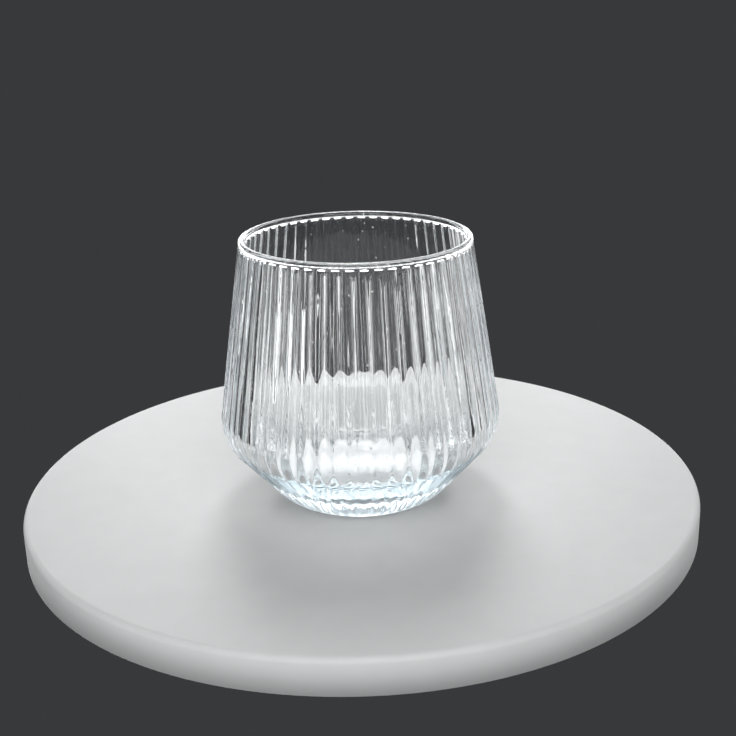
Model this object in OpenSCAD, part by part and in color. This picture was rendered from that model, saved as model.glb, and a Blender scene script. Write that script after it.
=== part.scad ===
// Stemless drinking glass with a ribbed wall, a rounded belly and a smooth lip.
// Units are millimetres. The origin is the centre of the foot, on the table, with +Z up.
// The glass is one body, drawn as three zones that meet face to face.

/* [Overall size] */
// Height from the table to the top of the lip
glass_h = 91; // [80:1:105]
// Widest outside diameter, measured over the ribs
belly_d = 95; // [88:1:102]
// Height of the widest point
belly_h = 29.4; // [25:0.2:34]
// Outside diameter of the lip
mouth_d = 77; // [70:1:84]
// Diameter of the flat that the glass stands on
foot_d = 39; // [32:1:44]

/* [Glass thickness] */
// Thickness of the wall, measured over a rib
wall_t = 2.1; // [1.6:0.1:2.6]
// Thickness of the glass under the bowl
floor_t = 11; // [8:0.5:13]
// Diameter of the flat floor inside
floor_d = 46; // [36:1:50]

/* [Rounding] */
// Outside radius where the belly turns into the lower cone
belly_r = 14.4; // [10:0.2:18]
// Outside radius of the rounded heel above the foot
heel_r = 15.4; // [12:0.2:17]
// Inside radius between the floor and the wall
floor_r = 10; // [6:0.5:12]

/* [Lip] */
// Thickness of the rounded bead at the top
lip_t = 2.4; // [2:0.1:3]
// Height of the smooth band above the ribs
lip_h = 1.9; // [1.6:0.1:3]

/* [Ribs] */
// Number of ribs around the glass
rib_count = 56; // [40:4:64]
// Depth of the grooves between the ribs
rib_depth = 0.55; // [0.2:0.05:0.7]
// Height above the table at which the ribs have run out
rib_foot_h = 1.2; // [0.8:0.1:2]
// Length over which the ribs run out under the lip
rib_end_h = 0.6; // [0.4:0.1:2]

/* [Hidden] */
glass_colour = [0.78, 0.88, 0.92];

// Steps along each rounded stretch of the outline, and facets around it
heel_steps = 3;
belly_steps = 5;
floor_steps = 3;
inner_belly_steps = 5;
lip_steps = 12;
rib_end_steps = 2;
facets_per_rib = 4;
outer_facets = rib_count * facets_per_rib;
inner_facets = outer_facets / 2;

// Centres of the circles that the outline is drawn around, as [radius, height]
heel_c = [foot_d / 2, heel_r];
belly_c = [belly_d / 2 - belly_r, belly_h];
floor_c = [floor_d / 2, floor_t + floor_r];
lip_c = [mouth_d / 2 - lip_t / 2, glass_h - lip_t / 2];
lip_z = glass_h - lip_h;

// Direction square to the straight line that touches circle a and then circle b, both on its inner side
function tangent_angle(a, a_r, b, b_r) =
    atan2(b[1] - a[1], b[0] - a[0]) - acos((a_r - b_r) / norm(b - a));

function on_circle(c, r, angle) = c + r * [cos(angle), sin(angle)];

function arc(c, r, from, to, steps) =
    [for (i = [0:steps]) on_circle(c, r, from + (to - from) * i / steps)];

// Radius, at height z, of the straight wall that leaves the belly circle of radius r
function wall_r(r, z) =
    (belly_c * [cos(wall_a), sin(wall_a)] + r - z * sin(wall_a)) / cos(wall_a);

// Angles at which the arcs end
wall_a = tangent_angle(belly_c, belly_r - wall_t / 2, lip_c, 0);
cone_a = tangent_angle(heel_c, heel_r, belly_c, belly_r);
rib_foot_a = asin(rib_foot_h / heel_r - 1);
inner_cone_a = tangent_angle(floor_c, floor_r, belly_c, belly_r - wall_t);

// Ends of the wall under the lip
lip_outer = [wall_r(belly_r, lip_z), lip_z];
lip_inner = [wall_r(belly_r - wall_t, lip_z), lip_z];

// Each ring of the ribbed skin is two points: one on a rib's crest, one in the groove beside it
function heel_rings() = [
    for (i = [0:heel_steps])
        let (angle = rib_foot_a + (cone_a - rib_foot_a) * i / heel_steps)
            [
                on_circle(heel_c, heel_r, angle),
                on_circle(heel_c, heel_r - rib_depth * sin(90 * i / heel_steps), angle)
            ]
];

function belly_ring(angle) = [
    on_circle(belly_c, belly_r, angle),
    on_circle(belly_c, belly_r - rib_depth, angle)
];

function belly_rings() = [
    for (i = [0:belly_steps - 1])
        belly_ring(cone_a * (1 - i / (belly_steps - 1))),
    belly_ring(wall_a)
];

function rib_end_rings() = [
    for (i = [0:rib_end_steps])
        let (
            z = lip_z - rib_end_h * (1 - i / rib_end_steps),
            groove_in = rib_depth * cos(90 * i / rib_end_steps)
        )
            [[wall_r(belly_r, z), z], [wall_r(belly_r - groove_in, z), z]]
];

// Share of the way from crest to groove at facet i
function groove_share(i) =
    pow(1 - abs(1 - 2 * (i % facets_per_rib) / facets_per_rib), 2);

function rib_points(ring) = [
    for (i = [0:outer_facets - 1])
        let (
            p = ring[0] + (ring[1] - ring[0]) * groove_share(i),
            turn = 360 * i / outer_facets
        )
            [p[0] * cos(turn), p[0] * sin(turn), p[1]]
];

function round_points(p) = [
    for (i = [0:inner_facets - 1])
        let (turn = 360 * i / inner_facets)
            [p[0] * cos(turn), p[0] * sin(turn), p[1]]
];

// Triangles between each ring and the next, with the solid's outside on the right hand going up
function skin(first, rings, facets, outward) = [
    for (k = [0:rings - 2], i = [0:facets - 1])
        let (
            a = first + k * facets + i,
            b = first + k * facets + (i + 1) % facets,
            c = b + facets,
            d = a + facets
        )
            each outward ? [[a, c, b], [a, d, c]] : [[a, b, c], [a, c, d]]
];

// Triangles of a flat ring between an outer ring and an inner one with half as many points
function flat_ring(outer, inner, faces_up) = [
    for (i = [0:inner_facets - 1])
        let (
            a = outer + 2 * i,
            b = a + 1,
            c = outer + (2 * i + 2) % outer_facets,
            d = inner + i,
            e = inner + (i + 1) % inner_facets
        )
            each faces_up ? [[a, d, b], [b, e, c], [b, d, e]] : [[a, b, d], [b, c, e], [b, e, d]]
];

module ribbed_shell(outer_rings, inner_outline) {
    outer_count = len(outer_rings) * outer_facets;
    last_outer = outer_count - outer_facets;
    last_inner = outer_count + (len(inner_outline) - 1) * inner_facets;
    polyhedron(
        points = [
            for (ring = outer_rings) each rib_points(ring),
            for (p = inner_outline) each round_points(p)
        ],
        faces = [
            each skin(0, len(outer_rings), outer_facets, true),
            each skin(outer_count, len(inner_outline), inner_facets, false),
            each flat_ring(0, outer_count, false),
            each flat_ring(last_outer, last_inner, true)
        ]
    );
}

module rim() {
    color(glass_colour)
        rotate_extrude($fn = inner_facets)
            polygon([lip_inner, lip_outer, each arc(lip_c, lip_t / 2, 0, 180, lip_steps)]);
}

module fluted_wall() {
    color(glass_colour)
        ribbed_shell(
            [each heel_rings(), each belly_rings(), each rib_end_rings()],
            [
                [floor_d / 2, rib_foot_h],
                each arc(floor_c, floor_r, -90, inner_cone_a, floor_steps),
                each arc(belly_c, belly_r - wall_t, inner_cone_a, wall_a, inner_belly_steps),
                lip_inner
            ]
        );
}

module base() {
    color(glass_colour)
        rotate_extrude($fn = inner_facets)
            polygon([
                [0, 0],
                each arc(heel_c, heel_r, -90, rib_foot_a, heel_steps),
                [floor_d / 2, rib_foot_h],
                [floor_d / 2, floor_t],
                [0, floor_t]
            ]);
}

rim();
fluted_wall();
base();
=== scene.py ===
"""A ribbed stemless drinking glass on a round pale table top, in metres.

The glass is one closed mesh without seams, because light only bends rightly through
a single skin. It is drawn round the same outline as the solids of the frame.
"""

import math

import bpy
from mathutils import Matrix, Vector, noise

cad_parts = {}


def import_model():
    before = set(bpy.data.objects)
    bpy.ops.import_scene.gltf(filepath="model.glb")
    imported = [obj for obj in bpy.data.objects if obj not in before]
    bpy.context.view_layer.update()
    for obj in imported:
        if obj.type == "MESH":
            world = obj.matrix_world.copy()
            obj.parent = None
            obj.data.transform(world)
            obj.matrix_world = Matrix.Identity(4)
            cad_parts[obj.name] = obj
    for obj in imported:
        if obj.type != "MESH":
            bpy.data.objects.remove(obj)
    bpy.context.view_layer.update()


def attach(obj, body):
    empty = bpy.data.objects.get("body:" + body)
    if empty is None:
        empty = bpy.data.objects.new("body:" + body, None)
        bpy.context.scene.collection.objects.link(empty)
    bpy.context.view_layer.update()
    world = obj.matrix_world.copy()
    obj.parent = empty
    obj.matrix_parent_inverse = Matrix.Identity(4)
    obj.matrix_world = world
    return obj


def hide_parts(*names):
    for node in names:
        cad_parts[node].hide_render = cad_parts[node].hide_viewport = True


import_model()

MM = 0.001
DOWN = -math.pi / 2
UP = math.pi / 2

# Sizes of the glass, as in the part's source
GLASS_H = 91 * MM
BELLY_R = 47.5 * MM
BELLY_H = 29.4 * MM
MOUTH_R = 38.5 * MM
FOOT_R = 19.5 * MM
WALL_T = 2.1 * MM
FLOOR_T = 11 * MM
FLOOR_R = 23 * MM
BELLY_BEND = 14.4 * MM
HEEL_BEND = 15.4 * MM
FLOOR_BEND = 10 * MM
LIP_T = 2.4 * MM
LIP_H = 1.9 * MM
RIB_DEPTH = 0.55 * MM
RIB_FOOT_H = 1.2 * MM
RIB_END_H = 0.6 * MM
RIB_COUNT = 56

# Where the bead of the lip meets its soft joins to the outer and the inner wall
BEAD_START = math.radians(-12)
BEAD_END = math.radians(188)

# Fineness of the mesh
COLUMNS_PER_RIB = 12
FOOT_STEPS = 4
PLAIN_HEEL_STEPS = 4
HEEL_STEPS = 10
CONE_STEPS = 8
BELLY_STEPS = 14
UPPER_BELLY_STEPS = 3
WALL_STEPS = 40
RIB_END_STEPS = 12
OUTER_JOIN_STEPS = 6
LIP_STEPS = 14
INNER_JOIN_STEPS = 4
FLOOR_BEND_STEPS = 12
FLOOR_STEPS = 6

# How the real glass strays from the drawn one: the ribs wander sideways and vary in
# depth as they rise, and the inner skin is faintly wavy
GROOVE_ROUNDING = 0.55
RIB_WANDER = math.radians(0.22)
RIB_DEPTH_SPREAD = 0.16
RIB_STRAY_HEIGHT = 20 * MM
WANDER_STEP = 7.3
DEPTH_STEP = 3.1
DEPTH_LAYER = 5
INNER_WAVE = 0.05 * MM
INNER_WAVE_WIDTH = 5 * MM
INNER_WAVE_HEIGHT = 30 * MM
INNER_WAVE_FADE = 6 * MM

# Colours, as red, green, blue and cover
GLASS_CLEAR = (0.992, 0.997, 1, 1)
GLASS_TINT = (0.45, 0.82, 0.98, 1)
LINT_WHITE = (0.9, 0.9, 0.9, 1)
TABLE_DARKER = (0.66, 0.67, 0.675, 1)
TABLE_LIGHTER = (0.72, 0.73, 0.735, 1)
STUDIO_DARK = (0.040, 0.041, 0.044, 1)
STUDIO_PLAIN = (1, 1, 1, 1)

# Radius of a speck of dust, as a share of the space between specks
SPECK_R = 0.07

# The camera, as found from the outline in the photograph
IMAGE_SIZE = 736
CAMERA_DISTANCE = 0.4107
CAMERA_TARGET_H = 0.0448
CAMERA_ELEVATION = math.radians(19.29)
CAMERA_PITCH = math.radians(19.37)
CAMERA_YAW = math.radians(3.43)
CAMERA_ROLL = math.radians(-0.55)
FOCAL_PIXELS = 1205
SHIFT_PIXELS = 60
SENSOR_MM = 36
NEAREST_SEEN = 0.01

TABLE_R = 0.118
TABLE_CENTRE = (0.001, 0.010, 0)
TABLE_T = 0.012
TABLE_EDGE = 0.002
TABLE_EDGE_STEPS = 8
TABLE_GAP = 0.0002
TABLE_COLUMNS = 180

# Strength of the plain light that falls on matt things from all sides
PLAIN_LIGHT = 0.05

# Distances of the lamps from the glass
KEY_FAR = 0.75
NEAR = 0.8
FAR = 1.4

# Each softbox: its name, the directions that it fills, from left to right in degrees
# round from the back and from low to high in degrees up, its distance, and its light
SOFTBOXES = (
    ("rear_low", (-10, 10), (0, 10), FAR, 1),
    ("rear_ledge", (-20, 20), (10, 14), NEAR, 2),
    ("rear_step", (-20, 20), (14, 17), NEAR, 6),
    ("rear_band", (-20, 20), (17, 25), NEAR, 4.8),
    ("rear_mid", (-20, 20), (25, 36), NEAR, 2.5),
    ("rear_key", (-8, 6), (50, 72), KEY_FAR, 11),
    ("front_high", (150, 210), (20, 50), NEAR, 3.5),
    ("strip_right", (10, 45), (0, 10), FAR, 5.5),
    ("strip_left", (-45, -10), (0, 10), FAR, 6),
    ("panel_right", (22, 56), (-40, 0), FAR, 0.75),
    ("panel_right_low", (12, 22), (-40, -13.7), FAR, 0.75),
    ("panel_left", (-40, -31), (-40, 0), FAR, 1.4),
    ("panel_left_low", (-31, -21), (-40, -13.7), FAR, 1.4),
)

# Each upright tube light: degrees round from the back, and its light
TUBES = (
    (70, 1), (85, 3), (100, 3), (115, 3), (130, 3), (145, 3), (160, 2),
    (175, 2), (190, 5), (205, 2.5), (220, 4), (235, 4), (250, 5), (265, 3), (280, 1),
)
TUBE_HALF_WIDTH = 2
TUBE_RISES = (-25, 10)


def on_circle(centre, radius, angle):
    return Vector((centre[0] + radius * math.cos(angle), centre[1] + radius * math.sin(angle)))


def tangent_angle(a, a_r, b, b_r):
    """Direction square to the line that touches circle a and then circle b on one side."""
    step = b - a
    return math.atan2(step[1], step[0]) - math.acos((a_r - b_r) / step.length)


# Centres of the circles that the outline is drawn around, and angles where arcs end
HEEL_C = Vector((FOOT_R, HEEL_BEND))
BELLY_C = Vector((BELLY_R - BELLY_BEND, BELLY_H))
FLOOR_C = Vector((FLOOR_R, FLOOR_T + FLOOR_BEND))
LIP_C = Vector((MOUTH_R - LIP_T / 2, GLASS_H - LIP_T / 2))
LIP_Z = GLASS_H - LIP_H
WALL_A = tangent_angle(BELLY_C, BELLY_BEND - WALL_T / 2, LIP_C, 0)
CONE_A = tangent_angle(HEEL_C, HEEL_BEND, BELLY_C, BELLY_BEND)
RIB_FOOT_A = math.asin(RIB_FOOT_H / HEEL_BEND - 1)
INNER_CONE_A = tangent_angle(FLOOR_C, FLOOR_BEND, BELLY_C, BELLY_BEND - WALL_T)


def wall_point(bend, z):
    """A point of the straight wall that leaves the belly circle of this radius."""
    across = BELLY_C[0] * math.cos(WALL_A) + BELLY_C[1] * math.sin(WALL_A) + bend
    return Vector(((across - z * math.sin(WALL_A)) / math.cos(WALL_A), z))


def shares(steps, first=0):
    return [i / steps for i in range(first, steps + 1)]


def mix(a, b, share):
    return a + (b - a) * share


def smooth(share):
    return share * share * (3 - 2 * share)


def plain_ring(place):
    """A ring without ribs: its crests and its grooves lie in one place."""
    return place, place, 0


def rib_ring(place, angle, rib_share=1):
    """A ring of the ribbed skin: the place of its crests and of its grooves."""
    return place, on_circle(place, -RIB_DEPTH * rib_share, angle), rib_share


def outer_outline():
    """Rings from the centre of the foot to the lip: (crest, groove, share of the rib)."""
    rings = [plain_ring(Vector((FOOT_R * s, 0))) for s in shares(FOOT_STEPS)]
    for s in shares(PLAIN_HEEL_STEPS, 1):
        rings.append(plain_ring(on_circle(HEEL_C, HEEL_BEND, mix(DOWN, RIB_FOOT_A, s))))
    for s in shares(HEEL_STEPS, 1):
        angle = mix(RIB_FOOT_A, CONE_A, s)
        rings.append(rib_ring(on_circle(HEEL_C, HEEL_BEND, angle), angle, math.sin(s * UP)))
    cone_start = on_circle(HEEL_C, HEEL_BEND, CONE_A)
    cone_end = on_circle(BELLY_C, BELLY_BEND, CONE_A)
    for s in shares(CONE_STEPS, 1)[:-1]:
        rings.append(rib_ring(mix(cone_start, cone_end, s), CONE_A))
    for s in shares(BELLY_STEPS):
        angle = mix(CONE_A, 0, s)
        rings.append(rib_ring(on_circle(BELLY_C, BELLY_BEND, angle), angle))
    for s in shares(UPPER_BELLY_STEPS, 1):
        angle = mix(0, WALL_A, s)
        rings.append(rib_ring(on_circle(BELLY_C, BELLY_BEND, angle), angle))
    wall_start = on_circle(BELLY_C, BELLY_BEND, WALL_A)[1]
    wall_end = LIP_Z - RIB_END_H
    for s in shares(WALL_STEPS, 1)[:-1]:
        rings.append(rib_ring(wall_point(BELLY_BEND, mix(wall_start, wall_end, s)), WALL_A))
    for s in shares(RIB_END_STEPS):
        z = LIP_Z - RIB_END_H * (1 - s)
        rib_share = mix(1 - s, 1 - smooth(s), 0.5)
        groove = wall_point(BELLY_BEND - RIB_DEPTH * rib_share, z)
        rings.append((wall_point(BELLY_BEND, z), groove, rib_share))
    return rings


def soft_join(start, along, end, share):
    """A point between the wall's end and the bead, leaving both ends along the wall."""
    height = (end - start).dot(along)
    drift = (end - start) - along * height
    return start + along * height * share + drift * smooth(share)


def lip_outline():
    """Places over the lip, from the outer wall to the inner one, on soft curves."""
    outer_end = wall_point(BELLY_BEND, LIP_Z)
    inner_end = wall_point(BELLY_BEND - WALL_T, LIP_Z)
    bead_start = on_circle(LIP_C, LIP_T / 2, BEAD_START)
    bead_end = on_circle(LIP_C, LIP_T / 2, BEAD_END)
    along = Vector((-math.sin(WALL_A), math.cos(WALL_A)))
    places = []
    for s in shares(OUTER_JOIN_STEPS, 1)[:-1]:
        places.append(soft_join(outer_end, along, bead_start, s))
    for s in shares(LIP_STEPS):
        places.append(on_circle(LIP_C, LIP_T / 2, mix(BEAD_START, UP, s)))
    for s in shares(LIP_STEPS, 1):
        places.append(on_circle(LIP_C, LIP_T / 2, mix(UP, BEAD_END, s)))
    for s in reversed(shares(INNER_JOIN_STEPS, 1)[:-1]):
        places.append(soft_join(inner_end, along, bead_end, s))
    return places


def inner_outline():
    """Places from the lip down the inside to the centre of the bowl's floor, each with
    the direction square to it."""
    inner_bend = BELLY_BEND - WALL_T
    wall_end = on_circle(BELLY_C, inner_bend, WALL_A)[1]
    places = []
    for s in shares(WALL_STEPS)[:-1]:
        places.append((wall_point(inner_bend, mix(LIP_Z, wall_end, s)), WALL_A))
    for s in shares(BELLY_STEPS):
        angle = mix(WALL_A, INNER_CONE_A, s)
        places.append((on_circle(BELLY_C, inner_bend, angle), angle))
    cone_start = on_circle(BELLY_C, inner_bend, INNER_CONE_A)
    cone_end = on_circle(FLOOR_C, FLOOR_BEND, INNER_CONE_A)
    for s in shares(CONE_STEPS, 1)[:-1]:
        places.append((mix(cone_start, cone_end, s), INNER_CONE_A))
    for s in shares(FLOOR_BEND_STEPS):
        angle = mix(INNER_CONE_A, DOWN, s)
        places.append((on_circle(FLOOR_C, FLOOR_BEND, angle), angle))
    for s in shares(FLOOR_STEPS, 1):
        places.append((Vector((FLOOR_R * (1 - s), FLOOR_T)), DOWN))
    return places


def groove_share(column):
    """Nothing on a rib's crest, 1 in the middle of the rounded groove beside it."""
    from_groove = abs(1 - 2 * (column % COLUMNS_PER_RIB) / COLUMNS_PER_RIB)
    rounded = math.hypot(from_groove, GROOVE_ROUNDING) - GROOVE_ROUNDING
    return (1 - rounded / (math.hypot(1, GROOVE_ROUNDING) - GROOVE_ROUNDING)) ** 2


def turned(place, turn):
    """A place of the outline, turned about the glass's axis."""
    return Vector((place[0] * math.cos(turn), place[0] * math.sin(turn), place[1]))


def ribbed_point(crest, groove, rib_share, column):
    turn = math.tau * column / (RIB_COUNT * COLUMNS_PER_RIB)
    rib = (column + COLUMNS_PER_RIB // 2) // COLUMNS_PER_RIB
    height = crest[1] / RIB_STRAY_HEIGHT
    wander = noise.noise(Vector((rib * WANDER_STEP, height, 0)))
    spread = noise.noise(Vector((rib * DEPTH_STEP, height, DEPTH_LAYER)))
    turn += RIB_WANDER * rib_share * wander
    depth_share = (1 + RIB_DEPTH_SPREAD * spread) * groove_share(column)
    return turned(mix(crest, groove, depth_share), turn)


def inner_point(place, angle, wave_share, column):
    turn = math.tau * column / (RIB_COUNT * COLUMNS_PER_RIB)
    wave_place = turned((place[0], 0), turn) / INNER_WAVE_WIDTH
    wave_place.z = place[1] / INNER_WAVE_HEIGHT
    wave = INNER_WAVE * wave_share * (noise.noise(wave_place) + 0.5)
    return turned(on_circle(place, -wave, angle), turn)


def glass_mesh():
    columns = RIB_COUNT * COLUMNS_PER_RIB
    rings = []
    for ring in outer_outline()[1:]:
        rings.append([ribbed_point(*ring, column) for column in range(columns)])
    for place in lip_outline():
        rings.append([inner_point(place, 0, 0, column) for column in range(columns)])
    for place, angle in inner_outline()[:-1]:
        wave_share = smooth(min(1, (LIP_Z - place[1]) / INNER_WAVE_FADE))
        wave_share *= smooth(min(1, place[0] / FLOOR_R))
        rings.append([inner_point(place, angle, wave_share, c) for c in range(columns)])
    points = [Vector((0, 0, 0))] + [p for ring in rings for p in ring]
    points.append(Vector((0, 0, FLOOR_T)))
    faces = [(0, 1 + (c + 1) % columns, 1 + c) for c in range(columns)]
    for k in range(len(rings) - 1):
        low = 1 + k * columns
        for c in range(columns):
            side = (c + 1) % columns
            faces.append((low + c, low + side, low + columns + side, low + columns + c))
    top = 1 + (len(rings) - 1) * columns
    last = len(points) - 1
    faces += [(top + c, top + (c + 1) % columns, last) for c in range(columns)]
    mesh = bpy.data.meshes.new("glass")
    mesh.from_pydata(points, [], faces)
    mesh.shade_smooth()
    return mesh


def node(tree, kind, **settings):
    """A new node with these properties, or else these values on its sockets."""
    made = tree.nodes.new(kind)
    for name, value in settings.items():
        if hasattr(made, name):
            setattr(made, name, value)
        else:
            made.inputs[name.replace("_", " ")].default_value = value
    return made


def empty_material(name):
    material = bpy.data.materials.new(name)
    material.use_nodes = True
    material.node_tree.nodes.clear()
    return material, material.node_tree


def glass_material():
    """Clear glass with faint smears, ripples and specks of dust, and a blue body."""
    material, tree = empty_material("clear_glass")
    link = tree.links.new
    out = node(tree, "ShaderNodeOutputMaterial")
    glass = node(
        tree, "ShaderNodeBsdfPrincipled", Base_Color=GLASS_CLEAR, IOR=1.5, Transmission_Weight=1
    )
    place = node(tree, "ShaderNodeTexCoord")
    smears = node(tree, "ShaderNodeTexNoise", Scale=60, Detail=4, Roughness=0.6)
    rough = node(
        tree, "ShaderNodeMapRange", From_Min=0.45, From_Max=0.8, To_Min=0.0, To_Max=0.05
    )
    link(place.outputs["Object"], smears.inputs["Vector"])
    link(smears.outputs["Fac"], rough.inputs["Value"])
    link(rough.outputs["Result"], glass.inputs["Roughness"])
    ripple = node(tree, "ShaderNodeTexNoise", Scale=220, Detail=2)
    bump = node(tree, "ShaderNodeBump", Strength=0.04, Distance=0.001)
    dust = node(tree, "ShaderNodeTexVoronoi", Scale=260)
    speck = node(tree, "ShaderNodeMath", operation="LESS_THAN")
    speck.inputs[1].default_value = SPECK_R
    lint = node(tree, "ShaderNodeBsdfDiffuse", Color=LINT_WHITE)
    surface = node(tree, "ShaderNodeMixShader")
    link(place.outputs["Object"], dust.inputs["Vector"])
    link(dust.outputs["Distance"], speck.inputs[0])
    link(speck.outputs[0], surface.inputs["Fac"])
    link(glass.outputs["BSDF"], surface.inputs[1])
    link(lint.outputs["BSDF"], surface.inputs[2])
    link(place.outputs["Object"], ripple.inputs["Vector"])
    link(ripple.outputs["Fac"], bump.inputs["Height"])
    link(bump.outputs["Normal"], glass.inputs["Normal"])
    tint = node(tree, "ShaderNodeVolumeAbsorption", Color=GLASS_TINT, Density=5)
    link(surface.outputs[0], out.inputs["Surface"])
    link(tint.outputs["Volume"], out.inputs["Volume"])
    return material


def table_material():
    """A pale matt top with a fine, faint grain."""
    material, tree = empty_material("pale_table")
    link = tree.links.new
    out = node(tree, "ShaderNodeOutputMaterial")
    top = node(tree, "ShaderNodeBsdfPrincipled", Roughness=0.5)
    place = node(tree, "ShaderNodeTexCoord")
    grain = node(tree, "ShaderNodeTexNoise", Scale=90, Detail=5)
    ramp = node(tree, "ShaderNodeValToRGB")
    ramp.color_ramp.elements[0].color = TABLE_DARKER
    ramp.color_ramp.elements[1].color = TABLE_LIGHTER
    link(place.outputs["Object"], grain.inputs["Vector"])
    link(grain.outputs["Fac"], ramp.inputs["Fac"])
    link(ramp.outputs["Color"], top.inputs["Base Color"])
    link(top.outputs["BSDF"], out.inputs["Surface"])
    return material


def add_object(name, mesh, material):
    made = bpy.data.objects.new(name, mesh)
    bpy.context.scene.collection.objects.link(made)
    mesh.materials.append(material)
    return made


def table_top():
    outline = [Vector((0, -TABLE_GAP))]
    edge_centre = Vector((TABLE_R - TABLE_EDGE, -TABLE_GAP - TABLE_EDGE))
    for s in shares(TABLE_EDGE_STEPS):
        outline.append(on_circle(edge_centre, TABLE_EDGE, mix(UP, 0, s)))
    outline.append(Vector((TABLE_R, -TABLE_T)))
    outline.append(Vector((0, -TABLE_T)))
    points = []
    for place in outline:
        for c in range(TABLE_COLUMNS):
            points.append(turned(place, math.tau * c / TABLE_COLUMNS))
    faces = []
    for k in range(len(outline) - 1):
        low = k * TABLE_COLUMNS
        high = low + TABLE_COLUMNS
        for c in range(TABLE_COLUMNS):
            side = (c + 1) % TABLE_COLUMNS
            faces.append((low + c, high + c, high + side, low + side))
    mesh = bpy.data.meshes.new("table")
    mesh.from_pydata(points, [], faces)
    mesh.shade_smooth()
    mesh.validate()
    table = add_object("table", mesh, table_material())
    table.location = TABLE_CENTRE


def camera():
    data = bpy.data.cameras.new("camera")
    data.sensor_fit = "HORIZONTAL"
    data.sensor_width = SENSOR_MM
    data.lens = SENSOR_MM * FOCAL_PIXELS / IMAGE_SIZE
    data.shift_x = -SHIFT_PIXELS / IMAGE_SIZE
    data.clip_start = NEAREST_SEEN
    back = CAMERA_DISTANCE * math.cos(CAMERA_ELEVATION)
    height = CAMERA_TARGET_H + CAMERA_DISTANCE * math.sin(CAMERA_ELEVATION)
    look = Vector((
        math.sin(CAMERA_YAW) * math.cos(CAMERA_PITCH),
        math.cos(CAMERA_YAW) * math.cos(CAMERA_PITCH),
        -math.sin(CAMERA_PITCH),
    ))
    right = look.cross(Vector((0, 0, 1))).normalized()
    up = right.cross(look)
    side = right * math.cos(CAMERA_ROLL) + up * math.sin(CAMERA_ROLL)
    top = up * math.cos(CAMERA_ROLL) - right * math.sin(CAMERA_ROLL)
    turn = Matrix((side, top, -look)).transposed().to_4x4()
    made = bpy.data.objects.new("camera", data)
    made.matrix_world = Matrix.Translation((0, -back, height)) @ turn
    bpy.context.scene.collection.objects.link(made)
    bpy.context.scene.camera = made


def softbox(name, turns, rises, distance, light):
    """A soft lamp that fills this span of directions as seen from the glass. Its face
    is this many times as light as white in plain light."""
    turn = math.radians(sum(turns) / 2)
    rise = math.radians(sum(rises) / 2)
    width = 2 * distance * math.tan(math.radians(turns[1] - turns[0]) / 2)
    height = 2 * distance * math.tan(math.radians(rises[1] - rises[0]) / 2)
    middle = Vector((0, 0, GLASS_H / 2))
    place = middle + distance * Vector((
        math.sin(turn) * math.cos(rise),
        math.cos(turn) * math.cos(rise),
        math.sin(rise),
    ))
    data = bpy.data.lights.new(name, "AREA")
    data.shape = "RECTANGLE"
    data.size = width
    data.size_y = height
    data.energy = light * math.pi * width * height
    made = bpy.data.objects.new(name, data)
    made.location = place
    made.rotation_euler = (middle - place).to_track_quat("-Z", "Y").to_euler()
    made.visible_camera = False
    bpy.context.scene.collection.objects.link(made)


def lights():
    for box in SOFTBOXES:
        softbox(*box)
    for turn, light in TUBES:
        turns = (turn - TUBE_HALF_WIDTH, turn + TUBE_HALF_WIDTH)
        softbox(f"tube_{turn}", turns, TUBE_RISES, FAR, light)


def world():
    """Plain light on matt things, and a dark studio behind for the camera and the glass."""
    made = bpy.data.worlds.new("studio")
    made.use_nodes = True
    tree = made.node_tree
    tree.nodes.clear()
    link = tree.links.new
    path = node(tree, "ShaderNodeLightPath")
    sharp = node(tree, "ShaderNodeMath", operation="MAXIMUM")
    seen = node(tree, "ShaderNodeMath", operation="MAXIMUM")
    before_matt = node(tree, "ShaderNodeMath", operation="LESS_THAN")
    before_matt.inputs[1].default_value = 0.5
    dark_share = node(tree, "ShaderNodeMath", operation="MULTIPLY")
    link(path.outputs["Is Glossy Ray"], sharp.inputs[0])
    link(path.outputs["Is Transmission Ray"], sharp.inputs[1])
    link(path.outputs["Is Camera Ray"], seen.inputs[0])
    link(sharp.outputs[0], seen.inputs[1])
    link(path.outputs["Diffuse Depth"], before_matt.inputs[0])
    link(seen.outputs[0], dark_share.inputs[0])
    link(before_matt.outputs[0], dark_share.inputs[1])
    plain = node(tree, "ShaderNodeBackground", Color=STUDIO_PLAIN, Strength=PLAIN_LIGHT)
    dark = node(tree, "ShaderNodeBackground", Color=STUDIO_DARK, Strength=1)
    either = node(tree, "ShaderNodeMixShader")
    out = node(tree, "ShaderNodeOutputWorld")
    link(dark_share.outputs[0], either.inputs["Fac"])
    link(plain.outputs[0], either.inputs[1])
    link(dark.outputs[0], either.inputs[2])
    link(either.outputs[0], out.inputs["Surface"])
    bpy.context.scene.world = made


def picture():
    """Plain colours, and enough bounces for light to get through the ribs."""
    scene = bpy.context.scene
    scene.view_settings.view_transform = "Standard"
    scene.cycles.max_bounces = 32
    scene.cycles.transmission_bounces = 32
    scene.cycles.glossy_bounces = 16


camera()
glass = add_object("glass", glass_mesh(), glass_material())
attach(glass, "root")
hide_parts("rim", "fluted_wall", "base")
table_top()
world()
lights()
picture()
